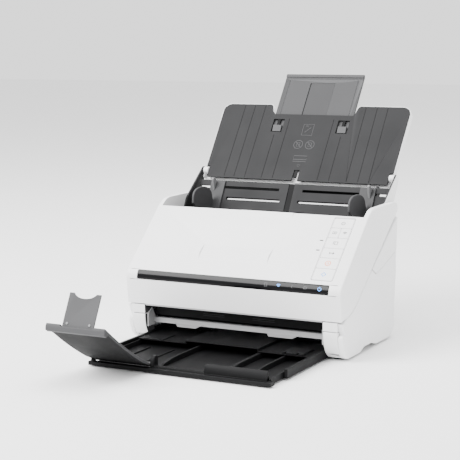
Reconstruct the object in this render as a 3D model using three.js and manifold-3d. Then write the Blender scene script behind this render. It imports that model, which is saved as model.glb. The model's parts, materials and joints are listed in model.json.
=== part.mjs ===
// Sheet fed document scanner, modelled open and ready for use.
// Millimetres, +X to the scanner's left-to-right width as seen from the front, +Y to the back, +Z up.
import * as THREE from 'three';
import { mergeVertices } from 'three/addons/utils/BufferGeometryUtils.js';
import Module from 'manifold-3d';

const wasm = await Module();
wasm.setup();

// ---- driving dimensions -------------------------------------------------------------------
const GAP = 0.35;                   // clearance between pieces that touch
const HALF_WIDTH = 148;             // body is 296 mm wide
const WING_INNER = 141.7;           // inner face of the side wings
const CHEEK_EDGE = 2;               // edge rounding of the side mouldings
const SKIN = 2.5;                   // wall of the moulded covers
const FRAME_SHIFT_Y = 53.2;         // puts the origin under the middle of the whole object

// front cover: a leaning front face, a round transition and a sloping top, seen from the side
const COVER_BOTTOM = { y: -84.3, z: 50.2 };
const ROUND = { y: -72.2, z: 82.8, r: 15 };
const FACE_ANGLE = THREE.MathUtils.degToRad(185.8);
const SLOPE = THREE.MathUtils.degToRad(42.1);
const SLOPE_LENGTH = 104.7;
const COVER_PIVOT = { y: -80.5, z: 53.5 };

// input tray: its frame starts on the paper side, where the straight edges end
const TRAY_ORIGIN = { y: 110.1, z: 211 };
const TRAY_ANGLE = THREE.MathUtils.degToRad(53.6);
const TRAY_PIVOT = { y: 104, z: 199 };
const TRAY_TOP = 93.8;
const TRAY_ROOT = -24;
const TRAY_HALF_TOP = 138.3;
const TRAY_HALF_ROOT = 136.5;
const TRAY_EDGE = 1.2;              // rim of the white shell round the dark panel
const NOTCH_BOTTOM = 76;            // finger notch in the top edge, where the extension comes out
const SIZE_GROOVES = [32.5, 49, 74, 90, 105];           // paper size lines, from the middle out
const SHORT_GROOVES = { 32.5: 71, 49: 45 };             // the ones that end before the top
const CLIP_X = [-47.6, 47.6];
const EXTENSION_TOP = 144.4;
const EXTENSION_HALF = 57.8;

// feed opening and paper path, each in a frame that lies on the paper's lower face
const HOPPER_ORIGIN = { y: 78, z: 166 };
const HOPPER_ANGLE = THREE.MathUtils.degToRad(60);
const PATH_ORIGIN = { y: -58, z: 30 };
const PATH_ANGLE = THREE.MathUtils.degToRad(42);
const PATH_LENGTH = 156;
const PATH_GAP = 2.2;               // space between the two paper guides
const LIP_END = 144.5;              // upper guide's end; it swings past the edge guides as the cover opens
const CHEEK_X = 126;                // inner face of the chassis cheeks
const FLOOR_Z = 24.4;               // underside of the chassis floor, above the folded stopper
const DRIVE_ROLLER = 8;
const PINCH_ROLLER = 6;
const PINCH_CENTRE = 7.15;          // height of the cover's rollers above the lower guide
const SHAFT = 3;
const STATIONS = { exit: 20, feed: 92, pickup: 134 };   // roller places along the paper path

// output tray
const DECK_FRONT = -109;
const RAIL_FRONT = -178;
const TRAY_REAR = -30;
const TRAY_HALF = 122;
const STAGE_TWO_FRONT = -217.5;
const STAGE_TWO_REAR = -66;
const STAGE_TWO_HALF = 117;
const STOPPER_PIVOT = { y: -206.5, z: 8.5 };
const STOPPER_ANGLE = THREE.MathUtils.degToRad(147.3);  // direction of the open stopper
const STOPPER_LENGTH = 114;
const STOPPER_X = [-117.6, -38.5];

// ---- colours --------------------------------------------------------------------------------
const finish = (color, roughness, metalness = 0) => () =>
  new THREE.MeshStandardMaterial({ color, roughness, metalness });
const white = finish(0xf3f3f2, 0.45);
const darkGrey = finish(0x454545, 0.6);
const midGrey = finish(0x6c6c6c, 0.55);
const black = finish(0x1b1b1b, 0.5);
const lightGrey = finish(0xa6a6a6, 0.55);
const glossBlack = finish(0x0a0a0a, 0.08);
const rubber = finish(0x222222, 0.9);
const steel = finish(0xb0b2b5, 0.3, 1);
const glass = finish(0x9fb3b8, 0.05);
const board = finish(0x1f6b3a, 0.5);

// ---- solids ---------------------------------------------------------------------------------
const Y_Z_TO_WORLD = new THREE.Matrix4().makeBasis(
  new THREE.Vector3(0, 1, 0), new THREE.Vector3(0, 0, 1), new THREE.Vector3(1, 0, 0));

function block(x0, x1, y0, y1, z0, z1) {
  const geometry = new THREE.BoxGeometry(x1 - x0, y1 - y0, z1 - z0);
  return geometry.translate((x0 + x1) / 2, (y0 + y1) / 2, (z0 + z1) / 2);
}

// an outline in Y and Z, extruded along X; round > 0 softens both ends' edges
function prism(points, x0, x1, round = 0) {
  const shape = new THREE.Shape(points.map(([y, z]) => new THREE.Vector2(y, z)));
  const geometry = new THREE.ExtrudeGeometry(shape, {
    depth: x1 - x0 - 2 * round,
    bevelEnabled: round > 0,
    bevelThickness: round,
    bevelSize: round,
    bevelOffset: -round,
    bevelSegments: 3,
    curveSegments: 6,
  });
  return geometry.translate(0, 0, x0 + round).applyMatrix4(Y_Z_TO_WORLD);
}

// an outline in X and Y with round corners, extruded along Z
function plate(x0, x1, y0, y1, z0, z1, radius) {
  const shape = new THREE.Shape();
  shape.moveTo(x0 + radius, y0);
  shape.absarc(x1 - radius, y0 + radius, radius, -Math.PI / 2, 0);
  shape.absarc(x1 - radius, y1 - radius, radius, 0, Math.PI / 2);
  shape.absarc(x0 + radius, y1 - radius, radius, Math.PI / 2, Math.PI);
  shape.absarc(x0 + radius, y0 + radius, radius, Math.PI, Math.PI * 1.5);
  const geometry = new THREE.ExtrudeGeometry(shape, { depth: z1 - z0, bevelEnabled: false, curveSegments: 5 });
  return geometry.translate(0, 0, z0);
}

function rod(radius, x0, x1, y = 0, z = 0, sides = 24) {
  const geometry = new THREE.CylinderGeometry(radius, radius, x1 - x0, sides);
  return geometry.rotateZ(-Math.PI / 2).translate((x0 + x1) / 2, y, z);
}

function toSolid(geometry) {
  const bare = geometry.clone();
  bare.deleteAttribute('normal');
  bare.deleteAttribute('uv');
  const merged = mergeVertices(bare, 1e-4);
  return new wasm.Manifold(new wasm.Mesh({
    numProp: 3,
    vertProperties: Float32Array.from(merged.attributes.position.array),
    triVerts: Uint32Array.from(merged.index.array),
  }));
}

function toGeometry(solid) {
  const { vertProperties, triVerts, numProp } = solid.getMesh();
  const positions = new Float32Array(triVerts.length * 3);
  triVerts.forEach((vertex, i) => {
    for (let axis = 0; axis < 3; axis += 1) {
      positions[3 * i + axis] = vertProperties[vertex * numProp + axis];
    }
  });
  const geometry = new THREE.BufferGeometry();
  geometry.setAttribute('position', new THREE.BufferAttribute(positions, 3));
  geometry.computeVertexNormals();
  return geometry;
}

const join = (first, ...others) =>
  toGeometry(others.reduce((sum, other) => sum.add(toSolid(other)), toSolid(first)));
const cut = (first, ...others) =>
  toGeometry(others.reduce((rest, other) => rest.subtract(toSolid(other)), toSolid(first)));
const keep = (first, second) => toGeometry(toSolid(first).intersect(toSolid(second)));

function mirrored(geometry) {
  const flat = geometry.index ? geometry.toNonIndexed() : geometry.clone();
  flat.scale(-1, 1, 1);
  const { array } = flat.attributes.position;
  for (let i = 0; i < array.length; i += 9) {
    for (let axis = 0; axis < 3; axis += 1) {
      [array[i + axis], array[i + 3 + axis]] = [array[i + 3 + axis], array[i + axis]];
    }
  }
  flat.computeVertexNormals();
  return flat;
}

function part(name, geometry, material) {
  const mesh = new THREE.Mesh(geometry, material());
  mesh.name = name;
  return mesh;
}

function tilted(origin, angle) {
  const group = new THREE.Group();
  group.position.set(0, origin.y, origin.z);
  group.rotation.x = angle;
  return group;
}

const scanner = new THREE.Group();
scanner.position.y = FRAME_SHIFT_Y;

function addPair(parent, name, geometry, material) {
  parent.add(part(`${name}_right`, geometry, material));
  parent.add(part(`${name}_left`, mirrored(geometry), material));
}

// ---- outlines seen from the side --------------------------------------------------------------
const onRound = (angle, r = ROUND.r) => [ROUND.y + r * Math.cos(angle), ROUND.z + r * Math.sin(angle)];
const SLOPE_OUT = SLOPE + Math.PI / 2;
const onSlope = (s, out = 0) => {
  const [y, z] = onRound(SLOPE_OUT, ROUND.r + out);
  return [y + s * Math.cos(SLOPE), z + s * Math.sin(SLOPE)];
};

function roundPoints(r, steps = 6) {
  return Array.from({ length: steps + 1 }, (_, i) =>
    onRound(FACE_ANGLE + (SLOPE_OUT - FACE_ANGLE) * i / steps, r));
}

function coverFace(offset) {
  const inward = [Math.cos(FACE_ANGLE) * offset, Math.sin(FACE_ANGLE) * offset];
  return [
    [COVER_BOTTOM.y - inward[0], COVER_BOTTOM.z],
    ...roundPoints(ROUND.r - offset),
    onSlope(SLOPE_LENGTH, -offset),
  ];
}

// seam between the opening cover and the fixed side, front to back
const SEAM = [[-80.6, 51.2], [-68, 52.4], [-55.9, 56.3], [-45, 61.6], [-36.6, 67],
  [6.8, 99.2], [90.6, 159.8]];
const WING_TOP = [[1.8, 169.2], [8, 171.7], [15.5, 173], [80, 173], [88.5, 171], [92.6, 166.5]];
const SIDE_TOP_FRONT = [[-82.6, 47.5], [-79, 47.9], [-75.5, 49.6], [-73, 51]];
const SIDE_FRONT = [[-83.2, 34], [-81, 20], [-76.5, 10], [-70, 4]];
const SIDE_BOTTOM = [[-64, 2.5], [-30, 2.5], [-18, 7], [6, 7], [23, 2.5], [60, 2.5],
  [72, 6.5], [80.5, 13], [84.6, 23]];
const INSERT = [[8.6, 99.6], [21.2, 91.6], [86.8, 111], [89.9, 154.6]];   // triangular panel behind the seam

// everything outside the inner face of the right wing, for side mouldings whose inner face is flat
const outsideWing = block(WING_INNER, 150, -120, 120, 0, 200);

// ---- fixed casing -----------------------------------------------------------------------------
function addCasing() {
  const belowSeam = SEAM.slice(2, 6).map(([y, z]) => [y + 0.5, z - 0.8]);
  const sideOutline = [...SIDE_TOP_FRONT, ...belowSeam, [20.6, 90.6], [86.2, 110], [86.2, 86],
    ...SIDE_BOTTOM.slice().reverse(), ...SIDE_FRONT.slice().reverse()];
  const side = keep(prism(sideOutline, 136, HALF_WIDTH, CHEEK_EDGE), outsideWing);
  const pocket = prism([[-60, 12], [60, 12], [78, 28], [78, 100], [20, 84], [-36, 52], [-60, 44]], 140, 145.4);
  addPair(scanner, 'side_cover', cut(side, pocket), white);

  const insertOutline = INSERT.map(([y, z]) => [y, z - 0.6]);
  addPair(scanner, 'side_insert',
    keep(prism(insertOutline, 139, HALF_WIDTH - 0.1, 1), outsideWing), white);

  const rearOutline = [[76, 9.5], [81.4, 13.4], [85.2, 23], [86.6, 86], [93.2, 159.6],
    [90.7, 159.6], [84.1, 86.2], [82.7, 23.6], [79.6, 15.8], [75, 12.4]];
  const ports = [block(-104, -92, 70, 100, 44, 55), block(-81, -68, 70, 100, 43.5, 55.5)];
  const ribs = [-60, 0, 60].map((x) => prism([[85, 88], [92, 157], [88, 157], [82, 90]], x - 1, x + 1));
  const wall = prism(rearOutline, -WING_INNER + GAP, WING_INNER - GAP);
  scanner.add(part('rear_cover', cut(join(wall, ...ribs), ...ports, ...SCREW_X.map(screwHole)), white));
  SCREW_X.forEach((x) => scanner.add(rearScrew(x)));

  const footOutline = [[-83.6, 37], [-83.4, 30], [-81.4, 20], [-77, 11], [-70.5, 5],
    [-64, 2.5], [-43, 2.5], [-43, 37]];
  const rearInner = block(122, 129.2, -61, -39, 0, 60);
  addPair(scanner, 'front_foot', cut(prism(footOutline, 122.6, WING_INNER - GAP), rearInner,
    block(126, 138, -74, -30, 8, 30)), white);
  const blockOutline = [[-83.8, 37.9], [-43, 37.9], [-43, 48.2], [-82, 48.2], [-82.2, 48.9], [-83.9, 48.9]];
  const earOutline = [[-77.6, 48], [-74, 48], [-74, 55.5], [-78.7, 55.5], [-78.7, 52.5], [-77.6, 51]];
  const ear = prism(earOutline, 132, 137);
  addPair(scanner, 'hinge_block',
    join(cut(prism(blockOutline, 122.6, WING_INNER - GAP), rearInner), ear), white);
}

const SCREW_X = [-120, 120];
const SCREW_Z = 70;
const screwHole = (x) => new THREE.CylinderGeometry(2.4, 2.4, 30, 20).translate(x, 80, SCREW_Z);

function rearScrew(x) {
  const head = new THREE.CylinderGeometry(3.6, 3.6, 1.8, 20).translate(x, 87.6, SCREW_Z);
  const shank = new THREE.CylinderGeometry(2, 2, 14, 20).translate(x, 80, SCREW_Z);
  return part(`rear_screw_${x < 0 ? 'left' : 'right'}`, join(head, shank), steel);
}

// ---- chassis, guides and scan unit -----------------------------------------------------------
const GEAR_MODULE = 1;
const inPath = (y, z) => {
  const c = Math.cos(PATH_ANGLE);
  const s = Math.sin(PATH_ANGLE);
  return { y: PATH_ORIGIN.y + y * c - z * s, z: PATH_ORIGIN.z + y * s + z * c };
};
const toPath = (geometry) => geometry.rotateX(PATH_ANGLE).translate(0, PATH_ORIGIN.y, PATH_ORIGIN.z);
const ROLLER_DEPTH = -7.2;
const shaftPlace = (station) => inPath(station, ROLLER_DEPTH);
const GEAR_DISTANCE = 24.25;        // 36 and 12 teeth of module 1, with running clearance
const MOTOR_DIRECTION = THREE.MathUtils.degToRad(-45);
const MOTOR = {
  y: shaftPlace(STATIONS.feed).y + GEAR_DISTANCE * Math.cos(MOTOR_DIRECTION),
  z: shaftPlace(STATIONS.feed).z + GEAR_DISTANCE * Math.sin(MOTOR_DIRECTION),
};

function addChassis() {
  const cheekOutline = [[-60, 17], [74, 17], [74, 112], [58, 126], [-34, 44], [-56, 26]];
  const cheek = prism(cheekOutline, CHEEK_X, CHEEK_X + 2.5);
  const floor = block(-CHEEK_X, CHEEK_X, -56, 74, FLOOR_Z, FLOOR_Z + 2);
  const rearBeam = block(-CHEEK_X, CHEEK_X, 71, 74, FLOOR_Z, 60);
  const bores = Object.values(STATIONS).map((station) => {
    const place = shaftPlace(station);
    return rod(SHAFT + GAP, -160, 160, place.y, place.z);
  });
  bores.push(rod(2, -160, -100, MOTOR.y, MOTOR.z));
  const frame = join(floor, rearBeam, cheek, mirrored(cheek));
  scanner.add(part('base_chassis', cut(frame, ...bores), steel));
}

function rollerWindows(z0, z1, clearance) {
  return Object.values(STATIONS).flatMap((station) =>
    rollerSpans(station).map(([x0, x1]) =>
      block(x0 - 1.5, x1 + 1.5, station - clearance, station + clearance, z0, z1)));
}

function rollerSpans(station) {
  return station === STATIONS.pickup ? [[-24, -4], [4, 24]] : [[-84, -64], [-30, -10], [10, 30], [64, 84]];
}

function addPaperPath() {
  const path = tilted(PATH_ORIGIN, PATH_ANGLE);
  const scanSlot = block(-112, 112, 49, 63, -5, 5);
  const guide = cut(block(-120, 120, 0, PATH_LENGTH, -2.2, 0), scanSlot, ...rollerWindows(-5, 5, 6.9));
  path.add(part('lower_guide', guide, black));

  const housing = cut(block(-116, 116, 44, 68, -26, -2.6), block(-111, 111, 48, 64, -22, 0));
  path.add(part('lower_scan_module', housing, black));
  path.add(part('lower_scan_glass', block(-110.6, 110.6, 49.5, 62.5, -2.2, -0.2), glass));
  scanner.add(path);

  const hopper = tilted(HOPPER_ORIGIN, HOPPER_ANGLE);
  const sheet = block(-136, 136, -32, 25.6, -2.4, 0);
  const slots = [[-92, -13], [13, 92]].map(([x0, x1]) => block(x0, x1, -1.5, 2, -4, 2));
  const groove = block(-4, 4, -32.5, 26, -0.9, 1);
  const railSlots = [[-135.2, -17], [17, 135.2]].map(([x0, x1]) => block(x0, x1, 14, 17.4, -4, 2));
  const pickupWindow = block(-26, 26, -40, -14.5, -4, 2);
  const rackCover = block(-120, 120, 3, 29, -12.8, -11.4);
  const coverEnd = block(117.5, 120, 3, 29, -12, -2);
  const drilled = cut(sheet, ...slots, groove, ...railSlots, pickupWindow);
  hopper.add(part('hopper_plate', join(drilled, rackCover, coverEnd, mirrored(coverEnd)), darkGrey));
  scanner.add(hopper);
}

function rollerSet(name, station, shaftHalf, radius, shaftRadius) {
  const wheels = rollerSpans(station).map(([x0, x1]) => rod(radius, x0, x1));
  return part(name, join(rod(shaftRadius, -shaftHalf, shaftHalf, 0, 0, 16), ...wheels), rubber);
}

const GEARS = { pinion: 12, feed: 36 };
const GEAR_X = [-137.5, -132.5];

// spur gear about X with trapezoid teeth; turn puts a tooth or a gap on the line of centres
function gear(teeth, turn, bore) {
  const pitch = GEAR_MODULE * teeth / 2;
  const shape = new THREE.Shape();
  const step = 2 * Math.PI / teeth;
  for (let i = 0; i < teeth; i += 1) {
    const tooth = [[-0.27, -1.2], [-0.13, 0.85], [0.13, 0.85], [0.27, -1.2]];
    tooth.forEach(([at, out]) => {
      const angle = turn + (i + at) * step;
      const point = [(pitch + out) * Math.cos(angle), (pitch + out) * Math.sin(angle)];
      shape[i === 0 && at === -0.27 ? 'moveTo' : 'lineTo'](...point);
    });
  }
  const hole = new THREE.Path();
  hole.absarc(0, 0, bore, 0, 2 * Math.PI, true);
  shape.holes.push(hole);
  const geometry = new THREE.ExtrudeGeometry(shape, {
    depth: GEAR_X[1] - GEAR_X[0], bevelEnabled: false, curveSegments: 10,
  });
  return geometry.translate(0, 0, GEAR_X[0]).applyMatrix4(Y_Z_TO_WORLD);
}

function addDrive() {
  Object.entries(STATIONS).forEach(([name, station]) => {
    const place = shaftPlace(station);
    const roller = rollerSet(`${name}_roller`, station, 131.5, DRIVE_ROLLER, SHAFT);
    roller.position.set(0, place.y, place.z);
    scanner.add(roller);
  });
  const feed = shaftPlace(STATIONS.feed);
  const driveGear = part('feed_gear', join(gear(GEARS.feed, 0, 2), rod(2.5, -132.5, -131.8)), lightGrey);
  driveGear.position.set(0, feed.y, feed.z);
  scanner.add(driveGear);

  const pinion = part('motor_pinion', join(gear(GEARS.pinion, MOTOR_DIRECTION + Math.PI, 1.4),
    rod(1.6, -132.6, -122.4, 0, 0, 12)), steel);
  pinion.position.set(0, MOTOR.y, MOTOR.z);
  scanner.add(pinion);
  const motor = join(rod(16, -122, -92, 0, 0, 32), block(-122, -120, -14, 14, -22, 14));
  const motorPart = part('drive_motor', motor, steel);
  motorPart.position.set(0, MOTOR.y, MOTOR.z);
  scanner.add(motorPart);
}

// ---- opening front cover ----------------------------------------------------------------------
const GRIP_X = [-25, 48];
const PANEL = { x0: 105.5, x1: 131.5, s0: 6, s1: 101 };   // button field on the slope

function addCover() {
  const outer = coverFace(0);
  const inner = coverFace(SKIN).reverse();
  const face = prism([...outer, ...inner], -WING_INNER - 0.5, WING_INNER + 0.5);
  const wingOutline = [...SEAM, ...WING_TOP.slice().reverse(), ...coverFace(0).reverse()];
  const wing = keep(prism(wingOutline, 136, HALF_WIDTH, CHEEK_EDGE), outsideWing);
  const hingeRib = join(rod(1.2, 126, 138, COVER_PIVOT.y, COVER_PIVOT.z, 12),
    block(128, 130, -83, COVER_PIVOT.y, 52.8, 54.2));
  const grip = prism([onSlope(SLOPE_LENGTH - 9, -1), onSlope(SLOPE_LENGTH - 6, 0.8),
    onSlope(SLOPE_LENGTH, 1.2), onSlope(SLOPE_LENGTH, -1)], ...GRIP_X);
  const shell = join(face, wing, mirrored(wing), hingeRib, mirrored(hingeRib), grip);

  const ledSlot = prism([...roundPoints(ROUND.r + 1), ...roundPoints(ROUND.r - 4).reverse()], -131.6, 131.6);
  const panelHole = block(PANEL.x0 - GAP, PANEL.x1 + GAP, PANEL.s0 - GAP, PANEL.s1 + GAP, -6, 3);
  const scoops = [-47, 47.5].map((x) => {
    const scoop = new THREE.CylinderGeometry(14, 14, 9, 40, 1).rotateX(Math.PI / 2);
    return keep(scoop.rotateY(0.14).translate(x + 1, 36, 3.3), block(x - 8, x + 11, 26, 46, -1.4, 3));
  });
  scanner.add(part('front_cover_shell',
    cut(shell, ledSlot, onSlopeFrame(panelHole), ...scoops.map(onSlopeFrame)), white));

  const led = prism([...roundPoints(ROUND.r - 0.05), ...roundPoints(ROUND.r - 2.2).reverse()], -131.2, 131.2);
  scanner.add(part('status_light_window', led, glossBlack));

  const path = tilted(PATH_ORIGIN, PATH_ANGLE);
  const housing = cut(block(-116, 116, 44, 68, PATH_GAP + 2.7, 24), block(-111, 111, 48, 64, 0, 20));
  path.add(part('upper_scan_module', housing, black));
  path.add(part('upper_scan_glass', block(-110.6, 110.6, 49.5, 62.5, PATH_GAP + 0.2, PATH_GAP + 2.2), glass));
  scanner.add(path);
  scanner.add(part('upper_guide', upperGuide(), black));

  const pinches = { separation_roller: STATIONS.pickup, pinch_roller: STATIONS.feed };
  Object.entries(pinches).forEach(([name, station]) => {
    const place = inPath(station, PINCH_CENTRE);
    const roller = rollerSet(name, station, 90, PINCH_ROLLER, 2);
    roller.position.set(0, place.y, place.z);
    scanner.add(roller);
  });
}

function onSlopeFrame(geometry) {
  const [y, z] = onSlope(0);
  return geometry.rotateX(SLOPE).translate(0, y, z);
}

// nose over the exit, the paper guide and the lip that faces the stack, in one bent plate
function upperGuide() {
  const at = (s, n) => { const p = inPath(s, n); return [p.y, p.z]; };
  const outline = [
    [-64, 33.2], at(3, PATH_GAP), at(LIP_END, PATH_GAP), [1.6, 159.6], [-1.4, 159.6], [-1.4, 157.8],
    at(LIP_END - 2.9, PATH_GAP + 2.2), at(4, PATH_GAP + 2.2), [-61.6, 36.4], [-61.6, 48.6], [-64, 48.6]];
  const windows = rollerWindows(0, 8, 6).slice(4).map(toPath);
  const scanSlot = toPath(block(-112, 112, 49, 63, 0, 6));
  const hanger = (station) => [
    at(station - 5, 3.4), at(station + 5, 3.4), at(station + 4, 11), at(station - 4, 11)];
  const hangers = [STATIONS.feed, STATIONS.pickup].flatMap((station) =>
    [-47, 47].map((x) => prism(hanger(station), x - 1, x + 1)));
  const bores = [STATIONS.feed, STATIONS.pickup].map((station) =>
    rod(2 + GAP, -60, 60, ...at(station, PINCH_CENTRE)));
  const stayOutline = [[-62.5, 42], [-62.5, 48.5], [-50, 56], [-40, 54]];
  const stays = [-61, 61].map((x) => prism(stayOutline, x - 0.8, x + 0.8));
  const sheet = cut(prism(outline, -119.6, 119.6), scanSlot, ...windows);
  return cut(join(sheet, ...stays, ...hangers), ...bores);
}

const ROW_HEIGHTS = [17.5, 16, 15, 16, 15.5, 15];       // button rows, bottom to top
const ROW_NAMES = [['scan_button'], ['stop_button'], ['feed_mode_button'], ['sheet_mode_button'],
  ['link_button', 'wireless_button'], ['power_button']];
const BUTTON_GAP = 0.5;

function addButtons() {
  const slope = tilted({ y: onSlope(0)[0], z: onSlope(0)[1] }, SLOPE);
  let s = PANEL.s0;
  ROW_HEIGHTS.forEach((height, row) => {
    const names = ROW_NAMES[row];
    const width = (PANEL.x1 - PANEL.x0) / names.length;
    names.forEach((name, i) => {
      const x0 = PANEL.x0 + i * width + (i ? BUTTON_GAP / 2 : 0);
      const x1 = PANEL.x0 + (i + 1) * width - (i < names.length - 1 ? BUTTON_GAP / 2 : 0);
      const cap = plate(x0, x1, s, s + height - BUTTON_GAP, -2.2, 0, 1);
      const middle = { x: (x0 + x1) / 2, s: s + height / 2 };
      const stem = block(middle.x - 2, middle.x + 2, middle.s - 2, middle.s + 2, -5, -2);
      slope.add(part(name, join(cap, stem), white));
    });
    s += height;
  });
  slope.add(part('button_board', block(104, 133, 5, 102, -8.6, -7), board));
  scanner.add(slope);
}

// ---- edge guides --------------------------------------------------------------------------------
const RACK = { module: 0.8, offset: 4.8, length: 108 };
const GUIDE_INNER = 98;

function onHopper(geometry) {
  return geometry.rotateX(HOPPER_ANGLE).translate(0, HOPPER_ORIGIN.y, HOPPER_ORIGIN.z);
}

// toothed bar along X; its teeth point towards the pinion, phase says where the first tooth stands
function rack(x0, teethSide, phase) {
  const pitch = Math.PI * RACK.module;
  const shape = new THREE.Shape();
  const root = RACK.offset + 0.9;
  shape.moveTo(x0 + RACK.length, root + 2.2);
  shape.lineTo(x0, root + 2.2);
  shape.lineTo(x0, root);
  const count = Math.floor(RACK.length / pitch) - 1;
  const first = (Math.ceil(x0 / pitch) + 1) * pitch + phase;
  for (let i = 0; i < count - 1; i += 1) {
    const at = first + i * pitch;
    shape.lineTo(at - 0.24 * pitch, root);
    shape.lineTo(at - 0.1 * pitch, RACK.offset - 0.55);
    shape.lineTo(at + 0.1 * pitch, RACK.offset - 0.55);
    shape.lineTo(at + 0.24 * pitch, root);
  }
  shape.lineTo(x0 + RACK.length, root);
  const geometry = new THREE.ExtrudeGeometry(shape, { depth: 2.2, bevelEnabled: false });
  return teethSide > 0 ? geometry : geometry.rotateZ(Math.PI);
}

const RACK_PLACE = { y: 16, z: -9.2 };
const PINION_TEETH = 12;

function addGuides() {
  const finOutline = new THREE.Shape();
  finOutline.moveTo(28.4, 158);
  finOutline.lineTo(20.4, 165.8);
  finOutline.lineTo(21, 172);
  finOutline.bezierCurveTo(22, 184, 34, 185, 48, 184.4);
  finOutline.bezierCurveTo(62, 183, 70, 178, 71.5, 170);
  finOutline.lineTo(74, 161);
  finOutline.lineTo(60, 142);
  finOutline.closePath();
  const fin = new THREE.ExtrudeGeometry(finOutline, {
    depth: 1, bevelEnabled: true, bevelThickness: 1, bevelSize: 1, bevelOffset: -1, bevelSegments: 2,
    curveSegments: 8,
  }).translate(0, 0, 110).applyMatrix4(Y_Z_TO_WORLD);
  const floor = onHopper(block(GUIDE_INNER, 119, -26, 24, 0.3, 2.2));
  const ramp = onHopper(prism([[23, 1], [24, 12], [21, 12], [8, 1]], 111, 114));
  const stem = onHopper(block(104, 107, 14.4, 17, RACK_PLACE.z, 1));
  const rightRack = onHopper(join(rack(-1, 1, 0).translate(0, RACK_PLACE.y, RACK_PLACE.z),
    block(104, 107, 14.4, RACK_PLACE.y + 7.8, RACK_PLACE.z, RACK_PLACE.z + 2.2)));
  const leftRack = onHopper(join(rack(-1, -1, 0).translate(0, RACK_PLACE.y, RACK_PLACE.z),
    block(-107, -104, RACK_PLACE.y - 7.8, 17, RACK_PLACE.z, RACK_PLACE.z + 2.2)));
  const upper = join(fin, floor, ramp, stem);
  scanner.add(part('edge_guide_right', join(upper, rightRack), darkGrey));
  scanner.add(part('edge_guide_left', join(mirrored(upper), leftRack), darkGrey));

  const hopper = tilted(HOPPER_ORIGIN, HOPPER_ANGLE);
  const pinion = part('guide_pinion', guidePinion(), lightGrey);
  pinion.position.set(0, RACK_PLACE.y, RACK_PLACE.z);
  hopper.add(pinion);
  scanner.add(hopper);
}

function guidePinion() {
  const shape = new THREE.Shape();
  const step = 2 * Math.PI / PINION_TEETH;
  const tooth = [[-0.22, -0.9], [-0.09, 0.5], [0.09, 0.5], [0.22, -0.9]];
  for (let i = 0; i < PINION_TEETH; i += 1) {
    tooth.forEach(([at, out], corner) => {
      const angle = (i + 0.5 + at) * step + Math.PI / 2;
      const radius = RACK.offset + out;
      shape[i + corner === 0 ? 'moveTo' : 'lineTo'](radius * Math.cos(angle), radius * Math.sin(angle));
    });
  }
  const teeth = new THREE.ExtrudeGeometry(shape, { depth: 2.2, bevelEnabled: false });
  const hub = new THREE.CylinderGeometry(1.6, 1.6, 5, 16).rotateX(Math.PI / 2).translate(0, 0, 3.6);
  return join(teeth, hub);
}

// ---- input tray ---------------------------------------------------------------------------------
// outline across the tray in its own frame; the lower end is a little narrower than the top
function trayOutline(inset, y0, y1) {
  const spread = (TRAY_HALF_TOP - TRAY_HALF_ROOT) / (TRAY_TOP - TRAY_ROOT);
  const half = (y) => TRAY_HALF_ROOT + spread * (y - TRAY_ROOT) - inset;
  const corner = 12 - inset;
  const shape = new THREE.Shape();
  shape.moveTo(-half(y0), y0);
  shape.lineTo(half(y0), y0);
  const side = half(y1 - corner);
  shape.lineTo(side, y1 - corner);
  shape.absarc(side - corner, y1 - corner, corner, 0, Math.PI / 2);
  shape.lineTo(67, y1);
  shape.quadraticCurveTo(62.8, y1, 62, y1 - 4.5);
  shape.lineTo(60.6, NOTCH_BOTTOM + 6);
  shape.quadraticCurveTo(60, NOTCH_BOTTOM + 2, 56.5, NOTCH_BOTTOM + 2);
  shape.lineTo(-56.5, NOTCH_BOTTOM + 2);
  shape.quadraticCurveTo(-60, NOTCH_BOTTOM + 2, -60.6, NOTCH_BOTTOM + 6);
  shape.lineTo(-62, y1 - 4.5);
  shape.quadraticCurveTo(-62.8, y1, -67, y1);
  shape.lineTo(corner - side, y1);
  shape.absarc(corner - side, y1 - corner, corner, Math.PI / 2, Math.PI);
  shape.closePath();
  return shape;
}

function slab(shape, z0, z1) {
  const geometry = new THREE.ExtrudeGeometry(shape, { depth: z1 - z0, bevelEnabled: false, curveSegments: 6 });
  return geometry.translate(0, 0, z0);
}

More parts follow.
